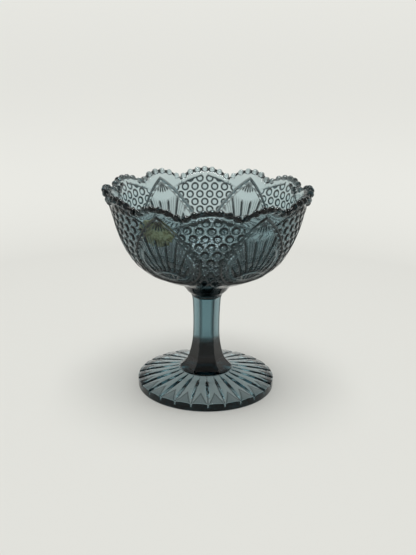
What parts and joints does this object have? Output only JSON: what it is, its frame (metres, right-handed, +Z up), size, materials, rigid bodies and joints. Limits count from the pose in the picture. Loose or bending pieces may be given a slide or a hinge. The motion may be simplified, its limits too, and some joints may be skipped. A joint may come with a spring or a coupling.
{
  "type": "footed compote bowl",
  "caption": "Footed bowl of slate-blue pressed glass with a rayed round foot, hexagonal stem, flared collar, hobnail and fan panels and a scalloped beaded rim.",
  "frame": {"origin": "middle of the underside of the foot, which rests on the table", "axes": "+Z up along the stem's axis; -Y faces the viewer of the picture, +X to the viewer's right"},
  "size_m": [0.1218, 0.1218, 0.123],
  "materials": {
    "slate_glass": "fire-polished pressed glass, clear slate blue",
    "label_foil": "dull gold foil sticker, worn, blank"
  },
  "bodies": {
    "root": {"foot": "slate_glass", "stem": "slate_glass", "collar": "slate_glass", "bowl": "slate_glass", "foil_label": "label_foil"}
  },
  "joints": []
}
